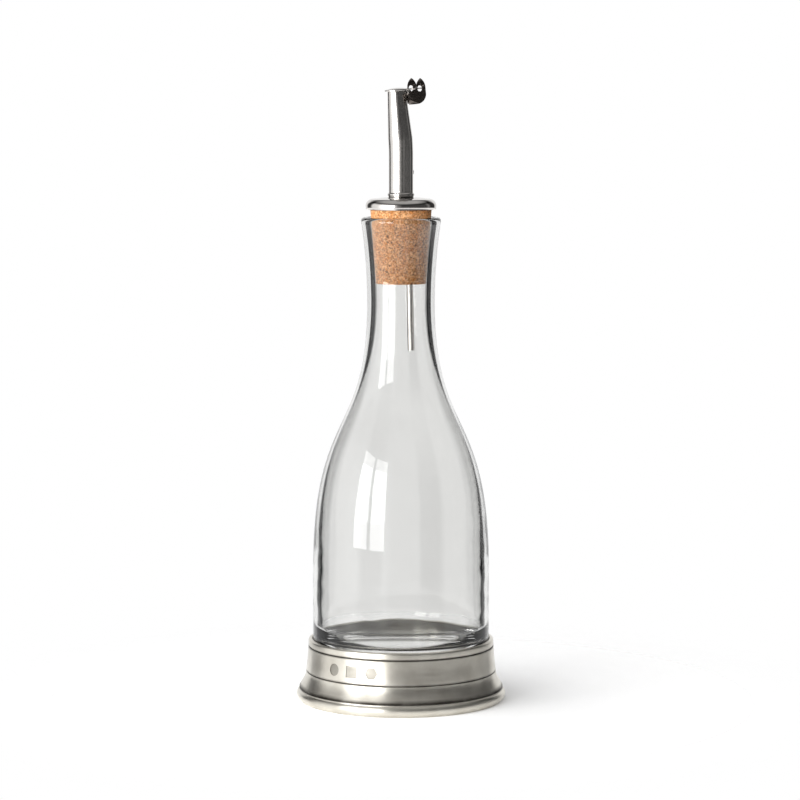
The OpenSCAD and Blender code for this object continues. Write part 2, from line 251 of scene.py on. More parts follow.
def turned_pewter(look):
    """Pewter turned on a lathe and rubbed: warm grey satin with upright glints, dark in the grooves."""
    made, tree, shader = finish("turned_pewter")
    place, ring = around_axis(tree)
    # Tool marks are about 0.1 mm apart on the real foot, too fine to show, and are drawn at 0.5 mm.
    marks = add(tree, "ShaderNodeTexNoise", {"Vector": ring, "Scale": 1 / (0.5 * MM), "Detail": 3.0})
    cloud = add(tree, "ShaderNodeTexNoise", {"Vector": place, "Scale": 1 / (9 * MM), "Detail": 5.0})
    pits = add(tree, "ShaderNodeTexNoise", {"Vector": place, "Scale": 1 / (1.2 * MM), "Detail": 2.0})
    dirt = add(tree, "ShaderNodeAttribute", attribute_name="patina").outputs["Fac"]
    uneven = math_node(tree, "MULTIPLY", dirt, spread(tree, cloud.outputs[0], 0.3, 0.7, 0.75, 1.0))
    dull = spread(tree, cloud.outputs[0], 0.35, 0.7, 0.0, 1.0)
    metal = blend_colours(tree, dull, opaque(look.pewter), opaque(look.pewter_dull))
    shade = blend_colours(tree, uneven, metal, opaque(look.tarnish))
    rough = math_node(tree, "ADD", spread(tree, marks.outputs[0], 0.3, 0.7, 0.3, 0.38),
                      math_node(tree, "MULTIPLY", uneven, 0.3))
    lines = add(tree, "ShaderNodeBump", {
        "Height": marks.outputs[0], "Strength": 0.05, "Distance": 0.02 * MM,
    })
    dents = add(tree, "ShaderNodeBump", {
        "Height": pits.outputs[0], "Strength": 0.06, "Distance": 0.05 * MM, "Normal": lines.outputs[0],
    })
    # The tool marks run round the foot, so they stretch a glint upright and leave its sides sharp.
    upright = add(tree, "ShaderNodeCombineXYZ", {2: 1.0})
    tree.links.new(shade, shader.inputs["Base Color"])
    tree.links.new(rough, shader.inputs["Roughness"])
    tree.links.new(dents.outputs[0], shader.inputs["Normal"])
    tree.links.new(upright.outputs[0], shader.inputs["Tangent"])
    shader.inputs["Metallic"].default_value = 1
    shader.inputs["Anisotropic"].default_value = 0.8
    return made


def steel(name, base, low, high, grain, along_tube):
    """Stainless steel. Drawn tube has lines along it, and a polished pressing has faint rings."""
    made, tree, shader = finish(name)
    place, ring = around_axis(tree)
    if along_tube:
        stretch = add(tree, "ShaderNodeMapping", {0: place, "Scale": (1, 1, 0.004)}).outputs[0]
    else:
        stretch = ring
    lines = add(tree, "ShaderNodeTexNoise", {"Vector": stretch, "Scale": 1 / grain, "Detail": 3.0})
    cloud = add(tree, "ShaderNodeTexNoise", {"Vector": place, "Scale": 1 / (4 * MM), "Detail": 4.0})
    darker = tuple(c * 0.9 for c in base)
    shade = blend_colours(tree, spread(tree, cloud.outputs[0], 0.35, 0.7, 0, 1),
                          opaque(base), opaque(darker))
    bump = add(tree, "ShaderNodeBump", {
        "Height": lines.outputs[0], "Strength": 0.04, "Distance": 0.015 * MM,
    })
    tree.links.new(shade, shader.inputs["Base Color"])
    tree.links.new(spread(tree, lines.outputs[0], 0.3, 0.7, low, high), shader.inputs["Roughness"])
    tree.links.new(bump.outputs[0], shader.inputs["Normal"])
    shader.inputs["Metallic"].default_value = 1
    return made


def agglomerated_cork(look):
    """Cork granules of about 1 mm pressed together: matte tan, with light and dark grains and pits."""
    made, tree, shader = finish("agglomerated_cork")
    place = add(tree, "ShaderNodeTexCoord").outputs["Object"]
    warp = add(tree, "ShaderNodeTexNoise", {"Vector": place, "Scale": 1 / (1.5 * MM), "Detail": 3.0})
    shift = add(tree, "ShaderNodeVectorMath", {0: warp.outputs["Color"], 1: (0.9 * MM,) * 3},
                operation="MULTIPLY")
    bent = add(tree, "ShaderNodeVectorMath", {0: place, 1: shift.outputs[0]}).outputs[0]
    grains = add(tree, "ShaderNodeTexVoronoi", {"Vector": bent, "Scale": 1 / (1.0 * MM)})
    seams = add(tree, "ShaderNodeTexVoronoi", {"Vector": bent, "Scale": 1 / (1.0 * MM)},
                feature="DISTANCE_TO_EDGE")
    specks = add(tree, "ShaderNodeTexVoronoi", {"Vector": bent, "Scale": 1 / (1.25 * MM)})
    fine = add(tree, "ShaderNodeTexNoise", {"Vector": place, "Scale": 1 / (0.7 * MM), "Detail": 3.0})
    pick = add(tree, "ShaderNodeSeparateColor", {0: grains.outputs["Color"]}).outputs
    rare = add(tree, "ShaderNodeSeparateColor", {0: specks.outputs["Color"]}).outputs
    grain = blend_colours(tree, pick[0], opaque(look.cork_mid), opaque(look.cork_light))
    toned = blend_colours(tree, spread(tree, fine.outputs[0], 0.42, 0.66, 0, 0.75), grain,
                          opaque(look.cork_dark))
    speck = math_node(tree, "MULTIPLY", spread(tree, rare[1], 0.86, 0.9, 0, 1),
                      spread(tree, specks.outputs["Distance"], 0.25, 0.5, 0.85, 0))
    seam = spread(tree, seams.outputs["Distance"], 0.0, 0.09, 0.5, 0.0)
    dark = math_node(tree, "MAXIMUM", speck, seam)
    shade = blend_colours(tree, dark, toned, opaque(look.cork_dark))
    level = math_node(tree, "SUBTRACT", fine.outputs[0], dark)
    bump = add(tree, "ShaderNodeBump", {"Height": level, "Strength": 0.8, "Distance": 0.15 * MM})
    tree.links.new(shade, shader.inputs["Base Color"])
    tree.links.new(spread(tree, fine.outputs[0], 0.3, 0.7, 0.7, 0.9), shader.inputs["Roughness"])
    tree.links.new(bump.outputs[0], shader.inputs["Normal"])
    return made


def clear_cement(look):
    """Clear cement set between glass and pewter: a pale film with small bubbles."""
    made, tree, shader = finish("clear_set_cement")
    place = add(tree, "ShaderNodeTexCoord").outputs["Object"]
    bubbles = add(tree, "ShaderNodeTexVoronoi", {"Vector": place, "Scale": 1 / (1.5 * MM)})
    pale = tuple(min(1, c * 1.15) for c in look.cement)
    shade = blend_colours(tree, bubbles.outputs["Distance"], opaque(look.cement), opaque(pale))
    tree.links.new(shade, shader.inputs["Base Color"])
    tree.links.new(spread(tree, bubbles.outputs["Distance"], 0, 1, 0.2, 0.4),
                   shader.inputs["Roughness"])
    shader.inputs["IOR"].default_value = 1.5
    return made


FADE_START, FADE_END = 50 * MM, 200 * MM
GLOW_INNER, GLOW_OUTER = 24 * MM, 33 * MM


def matte_floor(look):
    """A pale matte table top that fades out a short way from the object."""
    made, tree, shader = finish("pale_matte_table")
    place = add(tree, "ShaderNodeTexCoord").outputs["Object"]
    out = add(tree, "ShaderNodeVectorMath", {0: place}, operation="LENGTH").outputs["Value"]
    grain = add(tree, "ShaderNodeTexNoise", {"Vector": place, "Scale": 1 / (3 * MM), "Detail": 3.0})
    pale = tuple(c * 0.97 for c in look.floor)
    shade = blend_colours(tree, grain.outputs[0], opaque(look.floor), opaque(pale))
    tree.links.new(shade, shader.inputs["Base Color"])
    # Painted light: light that comes down through the glass is drawn as a glow under the foot, since
    # such light is too noisy to trace, and a fainter glow over the rest of the floor lightens its
    # shadow.
    glow = spread(tree, out, GLOW_INNER, GLOW_OUTER, 0.75, 0.12)
    tree.links.new(glow, shader.inputs["Emission Strength"])
    shader.inputs["Emission Color"].default_value = opaque(look.floor)
    fade = add(tree, "ShaderNodeMapRange", {
        "Value": out, "From Min": FADE_START, "From Max": FADE_END, "To Min": 1, "To Max": 0,
    }, interpolation_type="SMOOTHSTEP")
    tree.links.new(fade.outputs[0], shader.inputs["Alpha"])
    shader.inputs["Roughness"].default_value = 0.8
    return made


# ---------------------------------------------------------------- shapes

# Points closer than this are one point.
WELD = 2e-6


def turning_tree():
    """Geometry Nodes that turn a profile of (radius, 0, distance) points about a path.
    The path is a curve, and Side is the direction, square to it, in which the turn ends a quarter."""
    tree = bpy.data.node_groups.new("turned_along_path", "GeometryNodeTree")
    face = tree.interface
    face.new_socket("Geometry", in_out="INPUT", socket_type="NodeSocketGeometry")
    for name, kind, default in (
        ("Path", "NodeSocketObject", None),
        ("Side", "NodeSocketVector", (0, 1, 0)),
        ("Segments", "NodeSocketInt", 96),
        ("Ripple depth", "NodeSocketFloat", 0.0),
        ("Ripple size", "NodeSocketFloat", 10 * MM),
        ("Ripple shape", "NodeSocketVector", (1, 1, 1)),
        ("Seed", "NodeSocketFloat", 3.0),
        ("Material", "NodeSocketMaterial", None),
    ):
        made = face.new_socket(name, in_out="INPUT", socket_type=kind)
        if default is not None:
            made.default_value = default
    face.new_socket("Geometry", in_out="OUTPUT", socket_type="NodeSocketGeometry")

    given = add(tree, "NodeGroupInput").outputs
    count = add(tree, "GeometryNodeAttributeDomainSize", {0: given["Geometry"]}).outputs["Point Count"]
    columns = math_node(tree, "ADD", given["Segments"], 1)
    sheet = add(tree, "GeometryNodeMeshGrid", {"Vertices X": columns, "Vertices Y": count})
    index = add(tree, "GeometryNodeInputIndex").outputs[0]
    row = math_node(tree, "MODULO", index, count)
    # Half a step is added before the division, so that rounding can't put a point in the next column.
    middle = math_node(tree, "ADD", index, 0.5)
    column = math_node(tree, "FLOOR", math_node(tree, "DIVIDE", middle, count))
    share = math_node(tree, "DIVIDE", column, given["Segments"])
    turn = math_node(tree, "MULTIPLY", share, 2 * math.pi)
    cosine, sine = math_node(tree, "COSINE", turn), math_node(tree, "SINE", turn)

    def of_profile(value, data_type):
        found = add(tree, "GeometryNodeSampleIndex", data_type=data_type, domain="POINT")
        tree.links.new(given["Geometry"], found.inputs["Geometry"])
        tree.links.new(value, found.inputs["Value"])
        tree.links.new(row, found.inputs["Index"])
        return found.outputs[0]

    def named(name):
        found = add(tree, "GeometryNodeInputNamedAttribute", {"Name": name}, data_type="FLOAT")
        return found.outputs[0]

    point = of_profile(add(tree, "GeometryNodeInputPosition").outputs[0], "FLOAT_VECTOR")
    apart = add(tree, "ShaderNodeSeparateXYZ", {0: point}).outputs
    wavy = of_profile(named("ripple"), "FLOAT")
    spot = add(tree, "ShaderNodeCombineXYZ", {0: cosine, 1: sine}).outputs[0]
    spot = add(tree, "ShaderNodeVectorMath", {0: spot, "Scale": apart[0]}, operation="SCALE").outputs[0]
    lift = add(tree, "ShaderNodeCombineXYZ", {2: apart[2]}).outputs[0]
    spot = add(tree, "ShaderNodeVectorMath", {0: spot, 1: lift}).outputs[0]
    shaped = add(tree, "ShaderNodeVectorMath", {0: spot, 1: given["Ripple shape"]},
                 operation="MULTIPLY")
    noise = add(tree, "ShaderNodeTexNoise", {
        "Vector": shaped.outputs[0], "W": given["Seed"], "Detail": 2.0,
        "Scale": math_node(tree, "DIVIDE", 1, given["Ripple size"]),
    }, noise_dimensions="4D").outputs[0]
    swing = math_node(tree, "SUBTRACT", noise, 0.5)
    swing = math_node(tree, "MULTIPLY", swing, given["Ripple depth"])
    out = math_node(tree, "ADD", apart[0], math_node(tree, "MULTIPLY", swing, wavy))

    line = add(tree, "GeometryNodeObjectInfo", {0: given["Path"]}).outputs["Geometry"]
    on_line = add(tree, "GeometryNodeSampleCurve", {"Curves": line, "Length": apart[2]},
                  mode="LENGTH", use_all_curves=True).outputs
    side = given["Side"]
    other = add(tree, "ShaderNodeVectorMath", {0: side, 1: on_line["Tangent"]},
                operation="CROSS_PRODUCT").outputs[0]
    reach = on_line["Position"]
    for direction, share in ((other, cosine), (side, sine)):
        step = add(tree, "ShaderNodeVectorMath", {
            0: direction, "Scale": math_node(tree, "MULTIPLY", out, share),
        }, operation="SCALE").outputs[0]
        reach = add(tree, "ShaderNodeVectorMath", {0: reach, 1: step}).outputs[0]
    placed = add(tree, "GeometryNodeSetPosition", {"Geometry": sheet.outputs[0], "Position": reach})
    kept = add(tree, "GeometryNodeStoreNamedAttribute", {
        "Geometry": placed.outputs[0], "Name": "patina", "Value": of_profile(named("patina"), "FLOAT"),
    }, data_type="FLOAT", domain="POINT")
    closed = add(tree, "GeometryNodeMergeByDistance", {"Geometry": kept.outputs[0], "Distance": WELD})
    smooth = add(tree, "GeometryNodeSetShadeSmooth", {"Geometry": closed.outputs[0]})
    real = add(tree, "GeometryNodeRealizeInstances", {0: smooth.outputs[0]})
    coated = add(tree, "GeometryNodeSetMaterial", {
        "Geometry": real.outputs[0], "Material": given["Material"],
    })
    add(tree, "NodeGroupOutput", {0: coated.outputs[0]})
    return tree


def tidy_mesh(mesh, crease):
    """Welds a mesh, turns its faces outwards and keeps the edges that turn more than crease."""
    work = bmesh.new()
    work.from_mesh(mesh)
    bmesh.ops.remove_doubles(work, verts=work.verts, dist=WELD)
    bmesh.ops.dissolve_degenerate(work, edges=work.edges, dist=WELD / 2)
    bmesh.ops.recalc_face_normals(work, faces=work.faces)
    for each in work.faces:
        each.smooth = True
    work.to_mesh(mesh)
    work.free()
    mesh.set_sharp_from_angle(angle=math.radians(crease))
    mesh.update()


def linked(name, data):
    """A new object in the scene."""
    made = bpy.data.objects.new(name, data)
    bpy.context.scene.collection.objects.link(made)
    return made


def baked(worked, name, crease):
    """A plain object with the evaluated mesh of another, which is then removed."""
    bpy.context.view_layer.update()
    graph = bpy.context.evaluated_depsgraph_get()
    mesh = bpy.data.meshes.new_from_object(worked.evaluated_get(graph))
    bpy.data.objects.remove(worked)
    tidy_mesh(mesh, crease)
    mesh.name = name
    return linked(name, mesh)


def path_curve(points):
    """A poly curve through points."""
    data = bpy.data.curves.new("path", "CURVE")
    data.dimensions = "3D"
    spline = data.splines.new("POLY")
    spline.points.add(len(points) - 1)
    for place, point in zip(spline.points, points):
        place.co = (*point, 1)
    return linked("path", data)


def turned(name, profile, material, path=((0, 0, 0), (0, 0, 0.3)), segments=128, crease=40,
           depth=0.0, size=10 * MM, shape=(1, 1, 1), seed=3.0):
    """A piece turned from (radius, distance, patina, ripple) points about a path."""
    rows = [(*p, 0, 0)[:4] for p in profile]
    edges = [(i, i + 1) for i in range(len(rows) - 1)]
    mesh = bpy.data.meshes.new("profile")
    mesh.from_pydata([(p[0], 0, p[1]) for p in rows], edges, [])
    for place, label in ((2, "patina"), (3, "ripple")):
        values = mesh.attributes.new(label, "FLOAT", "POINT").data
        values.foreach_set("value", [p[place] for p in rows])
    worked = linked(name + "_profile", mesh)
    line = path_curve(path)
    tree = bpy.data.node_groups.get("turned_along_path") or turning_tree()
    turn = worked.modifiers.new("Turn", "NODES")
    turn.node_group = tree
    values = {"Path": line, "Side": ACROSS, "Segments": segments, "Ripple depth": depth,
              "Ripple size": size, "Ripple shape": shape, "Seed": seed, "Material": material}
    for item in tree.interface.items_tree:
        if item.in_out == "INPUT" and item.name in values:
            turn[item.identifier] = values[item.name]
    made = baked(worked, name, crease)
    bpy.data.objects.remove(line)
    return made


def pressed(node, material, edge, crease=38):
    """A small pressed piece: the CAD node's shape, with its flat faces joined and its edges eased."""
    worked = linked(node + "_work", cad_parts[node].data.copy())
    work = bmesh.new()
    work.from_mesh(worked.data)
    bmesh.ops.remove_doubles(work, verts=work.verts, dist=WELD / 2)
    bmesh.ops.dissolve_limit(work, angle_limit=math.radians(1), verts=work.verts, edges=work.edges)
    work.to_mesh(worked.data)
    work.free()
    bevel = worked.modifiers.new("Ease", "BEVEL")
    bevel.width = edge
    bevel.segments = 2
    bevel.limit_method = "ANGLE"
    bevel.angle_limit = math.radians(crease)
    made = baked(worked, node + "_piece", crease)
    dress(made, material)
    return made


def dress(piece, material):
    """Gives a piece one material."""
    piece.data.materials.clear()
    piece.data.materials.append(material)


def hand_over(piece, body, slot_name, *nodes):
    """Gives a finished piece its body and hides the CAD nodes that it stands for; slot_name is not
    used.
    """
    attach(piece, body)
    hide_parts(*nodes)


def arc(x, z, r, start, end, steps):
    """Points on an arc, angles in degrees."""
    turns = [math.radians(start + (end - start) * i / steps) for i in range(steps + 1)]
    return [(x + r * math.cos(t), z + r * math.sin(t)) for t in turns]


def cubic(p, q, r, s, steps):
    """Points on a cubic curve."""
    points = []
    for i in range(steps + 1):
        t = i / steps
        a, b, c, d = (1 - t) ** 3, 3 * (1 - t) ** 2 * t, 3 * (1 - t) * t * t, t ** 3
        points.append(tuple(a * p[k] + b * q[k] + c * r[k] + d * s[k] for k in (0, 1)))
    return points


def filled(points, step):
    """The same outline with points no further apart than step."""
    rows = [points[0]]
    for a, b in zip(points, points[1:]):
        pieces = max(1, math.ceil(math.dist(a[:2], b[:2]) / step))
        for i in range(1, pieces + 1):
            rows.append(tuple(x + (y - x) * i / pieces for x, y in zip(a, b)))
    return rows


def shoulder(r0, z0, r1, z1, k0, k1, steps=60):
    """A shoulder that leaves and meets upright lines, with handles of k0 and k1 of its height."""
    rise = z1 - z0
    return cubic((r0, z0), (r0, z0 + k0 * rise), (r1, z1 - k1 * rise), (r1, z1), steps)


# ---------------------------------------------------------------- glass

# How far the shoulder's handles reach, as shares of its height, outside and inside.
SHOULDER_PULL, NECK_PULL = 0.61, 0.506
INNER_PULL, INNER_NECK_PULL = 0.496, 0.452
# The inner shoulder starts this far above the outer one.
INNER_START = 15 * MM
LIP_ROUND = 1.5 * MM
HEEL_RUN = 7 * MM
# The ripple grows from nothing over a height and fades again over another.
RIPPLE_LOW, RIPPLE_GROWS = 24 * MM, 14 * MM
RIPPLE_HIGH, RIPPLE_FADES = 100 * MM, 35 * MM


def flare(sizes, z, wall):
    """Radius at height z of the flare's arc, with the wall's thickness added to the bore."""
    bore = sizes.neck_radius - sizes.neck_wall
    rise = z - sizes.neck_z
    return bore + wall + sizes.flare_radius - math.sqrt(sizes.flare_radius ** 2 - rise ** 2)


def flare_line(sizes, low, high, wall, steps=24):
    """Points on the flare's arc between two heights."""
    heights = [low + (high - low) * i / steps for i in range(steps + 1)]
    return [(flare(sizes, z, wall), z) for z in heights]


class MakeGlass(bpy.types.Operator):
    """Blow the bottle: a shell turned about the axis, with slow waves low in its wall"""

    bl_idname = "oil_bottle.make_glass"
    bl_label = "Glass bottle"

    def execute(self, context):
        s = context.scene.bottle_sizes
        body, base = radius("glass_bottle"), height("glass_bottle", 0)
        lip = height("glass_neck", 1)
        inner, neck = body - s.wall, s.neck_radius
        bore = neck - s.neck_wall
        kick_edge = body - s.heel_round - HEEL_RUN
        lip_in = flare(s, lip - LIP_ROUND, 0)
        lip_out = lip_in + s.neck_wall
        outer = (
            cubic((0, base + s.kick), (kick_edge * 0.5, base + s.kick),
                  (kick_edge * 0.8, base + s.kick * 0.5), (kick_edge, base), 24)
            + arc(body - s.heel_round, base + s.heel_round, s.heel_round, -90, 0, 12)
            + filled([(body, base + s.heel_round), (body, s.shoulder_z)], 1.5 * MM)[1:-1]
            + shoulder(body, s.shoulder_z, neck, s.neck_z, SHOULDER_PULL, NECK_PULL)
            + flare_line(s, s.neck_z, lip - LIP_ROUND, s.neck_wall)[1:]
            + arc(lip_out - LIP_ROUND, lip - LIP_ROUND, LIP_ROUND, 0, 90, 8)[1:]
        )
        inside = (
            arc(lip_in + LIP_ROUND, lip - LIP_ROUND, LIP_ROUND, 90, 180, 8)
            + flare_line(s, lip - LIP_ROUND, s.neck_z, 0)[1:]
            + shoulder(inner, s.shoulder_z + INNER_START, bore, s.neck_z,
                       INNER_PULL, INNER_NECK_PULL)[::-1][1:]
            + filled([(inner, s.shoulder_z + INNER_START), (inner, s.floor_z + s.floor_round)],
                     1.2 * MM)[1:-1]
            + arc(inner - s.floor_round, s.floor_z + s.floor_round, s.floor_round, 0, -90, 18)
            + filled([(inner - s.floor_round, s.floor_z), (0, s.floor_z)], 2 * MM)[1:]
        )
        rows = [(*p, 0, 0) for p in outer]
        for r, z in inside:
            low = min(1, max(0, (z - RIPPLE_LOW) / RIPPLE_GROWS))
            high = min(1, max(0, (RIPPLE_HIGH - z) / RIPPLE_FADES))
            rows.append((r, z, 0, low * high))
        glass = turned("glass_bottle_piece", rows, blown_glass(context.scene.finishes), segments=160,
                       crease=60, depth=s.ripple, size=5 * MM, shape=(0.35, 0.35, 1))
        hand_over(glass, "bottle", "clear_glass", "glass_bottle", "glass_neck")
        return {"FINISHED"}


# ---------------------------------------------------------------- pewter foot

# Where the first mark is, how far apart the marks are, and half the size of one.
MARK_START, MARK_STEP, MARK_SIZE = math.radians(-156.5), math.radians(13.2), 2.5 * MM
# Where the band counts as the marks' own, above and below their middle.
MARK_REACH = 3 * MM
MARK_DULL = 0.5
FOOT_CREASE = 32


def mark_outline(kind, size):
    """Outline of one plain mark: a disc, a square or a hexagon."""
    if kind == 1:
        half, tall = 1.04 * size, 0.96 * size
        return [(-half, -tall), (half, -tall), (half, tall), (-half, tall)]
    sides, reach = (48, size) if kind == 0 else (6, 1.08 * size)
    turns = [2 * math.pi * i / sides for i in range(sides)]
    return [(reach * math.cos(t), reach * math.sin(t)) for t in turns]


class MakeFoot(bpy.types.Operator):
    """Turn the pewter foot, press the three plain marks in its band and lay the cement bed"""

    bl_idname = "oil_bottle.make_foot"
    bl_label = "Pewter foot and cement"

    def execute(self, context):
        s, look = context.scene.foot_sizes, context.scene.finishes
        cup = radius("glass_bottle") + s.clearance
        rim, top = cup + s.wall, height("pewter_foot", 1)
        band, foot = rim + s.band_flare, radius("pewter_foot")
        ledge_in, groove = cup - s.ledge_w, 0.35 * MM
        low, high, bead = s.low_groove, s.high_groove, s.bead_h
        points = (
            [(foot - 4.5 * MM, 0, 0.2), (foot - 1.6 * MM, 0, 0.2)]
            + [(*p, 0) for p in arc(foot - 2.4 * MM, 2.6 * MM, 2.4 * MM, -55, 55, 14)]
            + [(foot - 1.1 * MM, bead - groove, 0.5), (foot - 1.3 * MM, bead - groove * 0.6, 1),
               (foot - 1.5 * MM, bead, 1), (foot - 1.3 * MM, bead + groove * 0.6, 1)]
            + [(*p, max(0, 1 - 4 * i / 20)) for i, p in enumerate(cubic(
                (foot - 1.15 * MM, bead + groove), (foot - 2.2 * MM, bead + 2.2 * MM),
                (band + 0.25 * MM, low - 2.6 * MM), (band + 0.1 * MM, low - groove), 20))]
            + [(band - groove * 0.6, low - groove * 0.4, 0.9), (band - groove, low, 1),
               (band - groove * 0.6, low + groove * 0.4, 0.9), (band, low + groove, 0.5),
               (band - 0.05 * MM, low + groove + 0.6 * MM, 0)]
            + [(rim + 0.35 * MM, low + (high - low) * 0.6, 0),
               (rim + 0.12 * MM, high - groove - 0.5 * MM, 0),
               (rim + 0.1 * MM, high - groove, 0.5), (rim - groove * 0.6, high - groove * 0.4, 1),
               (rim - groove, high, 1), (rim - groove * 0.6, high + groove * 0.4, 1),
               (rim, high + groove, 0.5), (rim + 0.02 * MM, high + groove + 0.4 * MM, 0)]
            + [(*p, 0) for p in arc(rim - 0.9 * MM, top - 0.9 * MM, 0.9 * MM, 0, 90, 8)]
            + [(cup + 0.3 * MM, top, 0), (cup, top - 0.3 * MM, 0.4), (cup, top - 1.2 * MM, 0.1),
               (cup, s.ledge_z, 0), (ledge_in, s.ledge_z, 0), (ledge_in, s.ledge_z - s.ledge_t, 0.3),
               (foot - 7.5 * MM, s.ledge_z - s.ledge_t - 1.5 * MM, 0.5), (foot - 4.5 * MM, 0, 0.2)]
        )
        metal = turned_pewter(look)
        foot_piece = turned("pewter_foot_piece", filled(points, 1.2 * MM), metal, segments=224,
                            crease=FOOT_CREASE)
        self.press_marks(foot_piece, metal, rim + s.band_flare / 2, (low + high) / 2 - 0.3 * MM,
                         s.stamp, s.band_flare / (high - low))
        hand_over(foot_piece, "bottle", "pewter", "pewter_foot")

        bed_low, bed_high = height("cement_bed", 0), height("cement_bed", 1)
        wide, narrow = radius("cement_bed"), ledge_in + 0.5 * MM
        bulge = 0.15 * MM
        bed = turned("cement_bed_piece", [
            (narrow, bed_low), (wide, bed_low), (wide - bulge, (bed_low + bed_high) / 2),
            (wide, bed_high), (narrow, bed_high), (narrow + bulge, (bed_low + bed_high) / 2),
            (narrow, bed_low),
        ], clear_cement(look))
        hand_over(bed, "bottle", "cement", "cement_bed")
        return {"FINISHED"}

    @staticmethod
    def press_marks(piece, metal, out, level, depth, slope):
        """Cuts three plain recesses in the band, which narrows upwards by slope, and dulls them."""
        cutter = bmesh.new()
        for kind in range(3):
            turn = Matrix.Rotation(MARK_START + MARK_STEP * kind, 4, "Z")
            rings = []
            for reach, share in ((out - depth, 0.6), (out - depth, 1), (out + 3 * MM, 1)):
                ring = []
                for y, z in mark_outline(kind, MARK_SIZE * share):
                    x = math.sqrt((reach - slope * z) ** 2 - y ** 2)
                    ring.append(cutter.verts.new(turn @ Vector((x, y, level + z))))
                rings.append(ring)
            middle = cutter.verts.new(turn @ Vector((out - depth, 0, level)))
            for i in range(len(rings[0])):
                cutter.faces.new([rings[0][i - 1], rings[0][i], middle])
                for inner, outer in zip(rings, rings[1:]):
                    cutter.faces.new([inner[i - 1], inner[i], outer[i], outer[i - 1]])
            cutter.faces.new(rings[2])
        bmesh.ops.recalc_face_normals(cutter, faces=cutter.faces)
        mesh = bpy.data.meshes.new("marks")
        cutter.to_mesh(mesh)
        cutter.free()
        tool = linked("marks", mesh)
        cut = piece.modifiers.new("Marks", "BOOLEAN")
        cut.object = tool
        cut.solver = "EXACT"
        bpy.context.view_layer.update()
        graph = bpy.context.evaluated_depsgraph_get()
        done = bpy.data.meshes.new_from_object(piece.evaluated_get(graph))
        piece.modifiers.remove(cut)
        for each in done.polygons:
            each.material_index = 0
        tarnish = done.attributes["patina"].data
        for each in done.vertices:
            rise = each.co.z - level
            inward = out - slope * rise - each.co.xy.length
            if abs(rise) < MARK_REACH and inward < 2 * depth:
                tarnish[each.index].value = MARK_DULL if inward > depth / 2 else 0
        piece.data = done
        dress(piece, metal)
        bpy.data.objects.remove(tool)
        done.set_sharp_from_angle(angle=math.radians(FOOT_CREASE))


# ---------------------------------------------------------------- cork

# Height above the neck's narrowest place at which the cork takes its width from the flare.
GRIP = 17 * MM
CORK_ROUND = 0.4 * MM


class MakeCork(bpy.types.Operator):
    """Turn the tapered cork and its steel sleeve"""

    bl_idname = "oil_bottle.make_cork"
    bl_label = "Cork and sleeve"

    def execute(self, context):
        bottle, s = context.scene.bottle_sizes, context.scene.pourer_sizes
        look = context.scene.finishes
        low, top = height("cork", 0), height("cork", 1)
        sleeve = radius("cork_sleeve")
        grip = bottle.neck_z + GRIP
        slope = GRIP / math.sqrt(bottle.flare_radius ** 2 - GRIP ** 2)
        at_grip = flare(bottle, grip, 0) - s.cork_gap
        edge = top - s.cork_shoulder
        wide, narrow = at_grip + slope * (edge - grip), at_grip + slope * (low - grip)
        rows = (
            filled([(sleeve, low), (narrow - CORK_ROUND, low)], 0.6 * MM)
            + arc(narrow - CORK_ROUND, low + CORK_ROUND, CORK_ROUND, -90, 0, 3)[1:-1]
            + filled([(narrow, low + CORK_ROUND), (wide, edge)], 0.5 * MM)
            + filled([(wide, edge), (wide - s.cork_shoulder, top)], 0.6 * MM)[1:]
            + [(sleeve, top), (sleeve, low)]
        )
        last = len(rows) - 2
        rows = [(r, z, 0, 0 if i < 2 or i >= last else 1) for i, (r, z) in enumerate(rows)]
        cork = turned("cork_piece", rows, agglomerated_cork(look), segments=150, crease=60,
                      depth=0.16 * MM, size=1.3 * MM, seed=7.0)
        hand_over(cork, "stopper", "cork", "cork")

        top = height("cork_sleeve", 1)
        bore = sleeve - s.tube_wall
        liner = turned("cork_sleeve_piece", [
            (bore + 0.1 * MM, low), (sleeve - 0.1 * MM, low), (sleeve, low + 0.1 * MM), (sleeve, top),
            (bore, top), (bore, low + 0.1 * MM), (bore + 0.1 * MM, low),
        ], tube_steel(look))
        hand_over(liner, "stopper", "tube_steel", "cork_sleeve")
        return {"FINISHED"}


# ---------------------------------------------------------------- pourer

def tube_steel(look):
    """Drawn tube: bright satin with fine lines along it."""
    return bpy.data.materials.get("drawn_stainless_tube") or steel(
        "drawn_stainless_tube", look.steel, 0.12, 0.24, 0.35 * MM, True)


def polished_steel(look):
    """Polished sheet: a clear mirror with faint rings."""
    return bpy.data.materials.get("polished_stainless_sheet") or steel(
        "polished_stainless_sheet", look.steel, 0.05, 0.12, 0.6 * MM, False)


def dark_steel(look):
    """Polished sheet on the counterweight, coloured dark as a painted reflection of the dark room that
    it mirrors.
    """
    return bpy.data.materials.get("polished_sheet_painted_dark") or steel(
        "polished_sheet_painted_dark", look.steel_painted_dark, 0.12, 0.25, 0.4 * MM, False)


